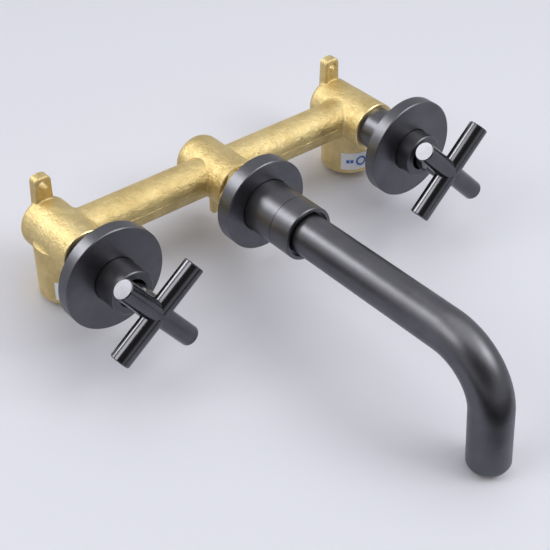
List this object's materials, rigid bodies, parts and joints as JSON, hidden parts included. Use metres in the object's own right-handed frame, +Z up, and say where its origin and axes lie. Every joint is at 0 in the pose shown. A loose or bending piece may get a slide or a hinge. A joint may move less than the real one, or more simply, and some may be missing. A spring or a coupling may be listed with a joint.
{
  "type": "wall mounted bath faucet",
  "caption": "Wall mounted bath faucet with a brass pipe manifold, cross handles on quarter-turn valves, sliding wall flanges and a bent spout.",
  "frame": {"origin": "centre of the spout body's flat back, on the wall plane and on the axis of the spout", "axes": "+X to the right of a person facing the faucet, +Y into the wall, +Z up; the faucet stands out of the wall towards -Y"},
  "size_m": [0.2582, 0.2461, 0.0976],
  "materials": {
    "cast_brass": "as cast, fine sand grain",
    "machined_brass": "turned",
    "black_trim": "satin gunmetal plating",
    "black_handle": "polished gunmetal plating",
    "steel": "plain",
    "ceramic": "lapped",
    "rubber": "matt",
    "plastic": "moulded",
    "inlet_label": "printed sticker"
  },
  "bodies": {
    "manifold": {"left_valve_body": "cast_brass", "left_cross_pipe": "cast_brass", "left_inlet_label": "inlet_label", "left_cartridge_body": "machined_brass", "left_cartridge_o_ring": "rubber", "left_seat_seal": "rubber", "left_fixed_disc": "ceramic", "left_valve_sleeve": "black_trim", "right_valve_body": "cast_brass", "right_cross_pipe": "cast_brass", "right_inlet_label": "inlet_label", "right_cartridge_body": "machined_brass", "right_cartridge_o_ring": "rubber", "right_seat_seal": "rubber", "right_fixed_disc": "ceramic", "right_valve_sleeve": "black_trim", "spout_body": "cast_brass", "spout_connector": "machined_brass", "collar_sleeve": "black_trim", "collar_nut": "black_trim"},
    "left_handle": {"left_handle_cross": "black_handle", "left_spindle": "machined_brass", "left_moving_disc": "ceramic", "left_spindle_o_rings": "rubber", "left_spindle_clip": "steel", "left_grub_screw": "steel"},
    "right_handle": {"right_handle_cross": "black_handle", "right_spindle": "machined_brass", "right_moving_disc": "ceramic", "right_spindle_o_rings": "rubber", "right_spindle_clip": "steel", "right_grub_screw": "steel"},
    "left_wall_flange": {"left_flange": "black_trim", "left_grip_ring": "rubber"},
    "right_wall_flange": {"right_flange": "black_trim", "right_grip_ring": "rubber"},
    "spout_wall_flange": {"spout_flange": "black_trim", "spout_grip_ring": "rubber"},
    "spout": {"spout_tube": "black_trim", "spout_spigot": "machined_brass", "spout_o_rings": "rubber", "spout_washer": "plastic", "aerator_housing": "machined_brass", "aerator_insert": "plastic", "aerator_washer": "rubber"}
  },
  "joints": [
    {"name": "left_handle_turn", "type": "hinge", "parent": "manifold", "child": "left_handle", "pos_m": [-0.1, -0.1048, 0], "axis": [0, -1, 0], "range_deg": [0, 90]},
    {"name": "right_handle_turn", "type": "hinge", "parent": "manifold", "child": "right_handle", "pos_m": [0.1, -0.1048, 0], "axis": [0, 1, 0], "range_deg": [0, 90]},
    {"name": "left_flange_slide", "type": "slide", "parent": "manifold", "child": "left_wall_flange", "axis": [0, 1, 0], "range_m": [-0.014, 0.0172]},
    {"name": "right_flange_slide", "type": "slide", "parent": "manifold", "child": "right_wall_flange", "axis": [0, 1, 0], "range_m": [-0.0084, 0.0228]},
    {"name": "spout_flange_slide", "type": "slide", "parent": "manifold", "child": "spout_wall_flange", "axis": [0, 1, 0], "range_m": [-0.0335, 0.0085]},
    {"name": "spout_swivel", "type": "hinge", "parent": "manifold", "child": "spout", "pos_m": [0, -0.2345, 0], "axis": [0, -1, 0], "range_deg": [-94.2, 85.8]}
  ]
}
